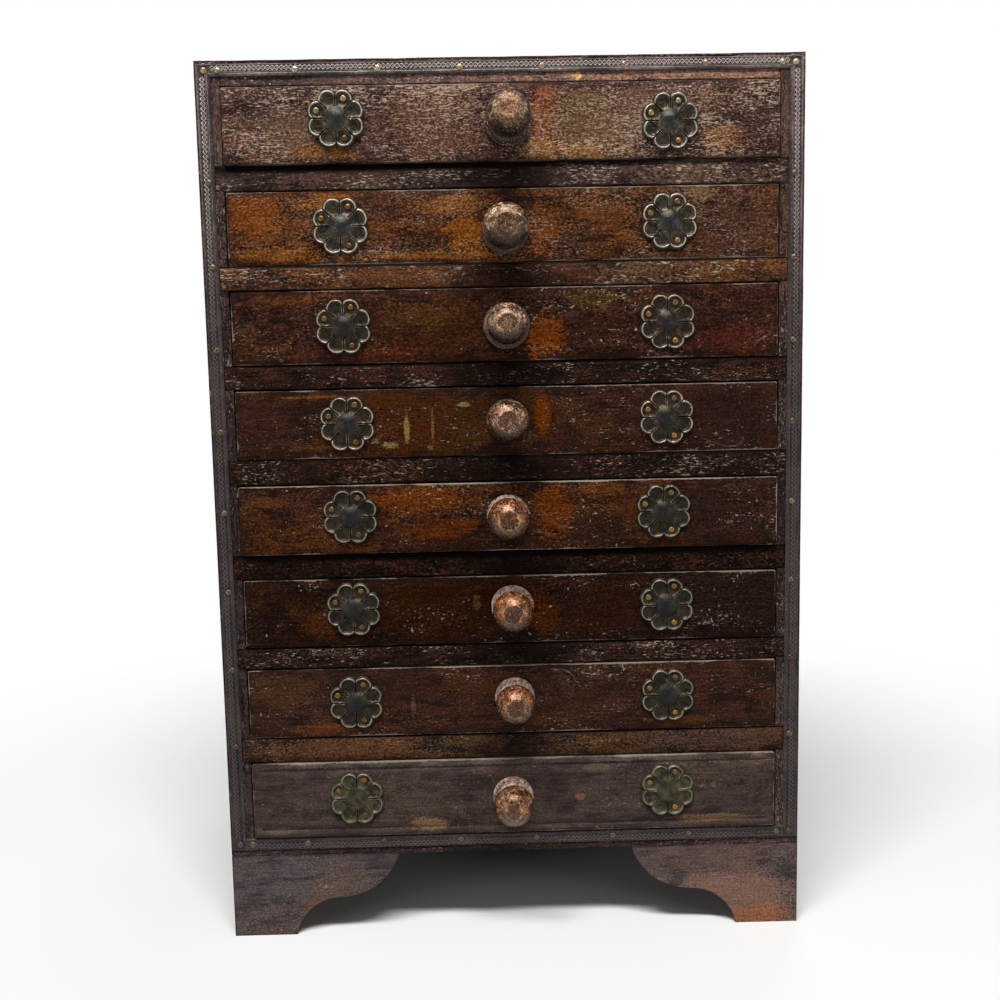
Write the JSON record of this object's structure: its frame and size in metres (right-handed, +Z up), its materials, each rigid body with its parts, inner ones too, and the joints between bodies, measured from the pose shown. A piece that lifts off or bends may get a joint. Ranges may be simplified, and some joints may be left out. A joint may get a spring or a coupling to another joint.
{
  "type": "spice drawer cabinet",
  "caption": "Tabletop wooden cabinet with a column of shallow sliding drawers, turned knobs, metal rosettes, an embossed metal edging and ogee bracket feet.",
  "frame": {"origin": "on the ground, under the middle of the whole piece with its knobs", "axes": "+Z up, drawers open towards -Y, +X to the right seen from the front"},
  "size_m": [0.41, 0.3194, 0.6133],
  "materials": {
    "carcass_wood": "dark stained hardwood, worn and waxed",
    "rail_wood": "dark stained hardwood, worn brown on the edges",
    "front_wood": "red-brown stained hardwood, worn through to orange near the knobs",
    "inner_wood": "unfinished pale softwood, dusty and aged",
    "knob_wood": "turned hardwood, worn polish",
    "foot_wood": "stained hardwood, worn grey-brown",
    "strip_metal": "embossed tinplate, tarnished dark with bright edges",
    "rosette_metal": "stamped tinplate, tarnished olive grey with bright edges",
    "nail_brass": "dull brass"
  },
  "bodies": {
    "cabinet": {"top_board": "carcass_wood", "bottom_board": "carcass_wood", "left_side": "carcass_wood", "right_side": "carcass_wood", "back_panel": "inner_wood", "drawer_rails": "rail_wood", "drawer_runners": "inner_wood", "front_bracket_feet": "foot_wood", "side_bracket_feet": "foot_wood", "foot_blocks": "inner_wood", "edge_strips": "strip_metal", "strip_tacks": "nail_brass"},
    "drawer_1": {"drawer_1_front": "front_wood", "drawer_1_sides_and_back": "inner_wood", "drawer_1_bottom": "inner_wood", "drawer_1_knob": "knob_wood", "drawer_1_rosettes": "rosette_metal", "drawer_1_pins": "nail_brass"},
    "drawer_2": {"drawer_2_front": "front_wood", "drawer_2_sides_and_back": "inner_wood", "drawer_2_bottom": "inner_wood", "drawer_2_knob": "knob_wood", "drawer_2_rosettes": "rosette_metal", "drawer_2_pins": "nail_brass"},
    "drawer_3": {"drawer_3_front": "front_wood", "drawer_3_sides_and_back": "inner_wood", "drawer_3_bottom": "inner_wood", "drawer_3_knob": "knob_wood", "drawer_3_rosettes": "rosette_metal", "drawer_3_pins": "nail_brass"},
    "drawer_4": {"drawer_4_front": "front_wood", "drawer_4_sides_and_back": "inner_wood", "drawer_4_bottom": "inner_wood", "drawer_4_knob": "knob_wood", "drawer_4_rosettes": "rosette_metal", "drawer_4_pins": "nail_brass"},
    "drawer_5": {"drawer_5_front": "front_wood", "drawer_5_sides_and_back": "inner_wood", "drawer_5_bottom": "inner_wood", "drawer_5_knob": "knob_wood", "drawer_5_rosettes": "rosette_metal", "drawer_5_pins": "nail_brass"},
    "drawer_6": {"drawer_6_front": "front_wood", "drawer_6_sides_and_back": "inner_wood", "drawer_6_bottom": "inner_wood", "drawer_6_knob": "knob_wood", "drawer_6_rosettes": "rosette_metal", "drawer_6_pins": "nail_brass"},
    "drawer_7": {"drawer_7_front": "front_wood", "drawer_7_sides_and_back": "inner_wood", "drawer_7_bottom": "inner_wood", "drawer_7_knob": "knob_wood", "drawer_7_rosettes": "rosette_metal", "drawer_7_pins": "nail_brass"},
    "drawer_8": {"drawer_8_front": "front_wood", "drawer_8_sides_and_back": "inner_wood", "drawer_8_bottom": "inner_wood", "drawer_8_knob": "knob_wood", "drawer_8_rosettes": "rosette_metal", "drawer_8_pins": "nail_brass"}
  },
  "joints": [
    {"name": "drawer_1_slide", "type": "slide", "parent": "cabinet", "child": "drawer_1", "axis": [0, -1, 0], "range_m": [-0.0025, 0.2]},
    {"name": "drawer_2_slide", "type": "slide", "parent": "cabinet", "child": "drawer_2", "axis": [0, -1, 0], "range_m": [-0.0004, 0.2]},
    {"name": "drawer_3_slide", "type": "slide", "parent": "cabinet", "child": "drawer_3", "axis": [0, -1, 0], "range_m": [-0.0008, 0.2]},
    {"name": "drawer_4_slide", "type": "slide", "parent": "cabinet", "child": "drawer_4", "axis": [0, -1, 0], "range_m": [-0.0005, 0.2]},
    {"name": "drawer_5_slide", "type": "slide", "parent": "cabinet", "child": "drawer_5", "axis": [0, -1, 0], "range_m": [-0.003, 0.2]},
    {"name": "drawer_6_slide", "type": "slide", "parent": "cabinet", "child": "drawer_6", "axis": [0, -1, 0], "range_m": [-0.0008, 0.2]},
    {"name": "drawer_7_slide", "type": "slide", "parent": "cabinet", "child": "drawer_7", "axis": [0, -1, 0], "range_m": [-0.0006, 0.2]},
    {"name": "drawer_8_slide", "type": "slide", "parent": "cabinet", "child": "drawer_8", "axis": [0, -1, 0], "range_m": [-0.002, 0.2]}
  ]
}
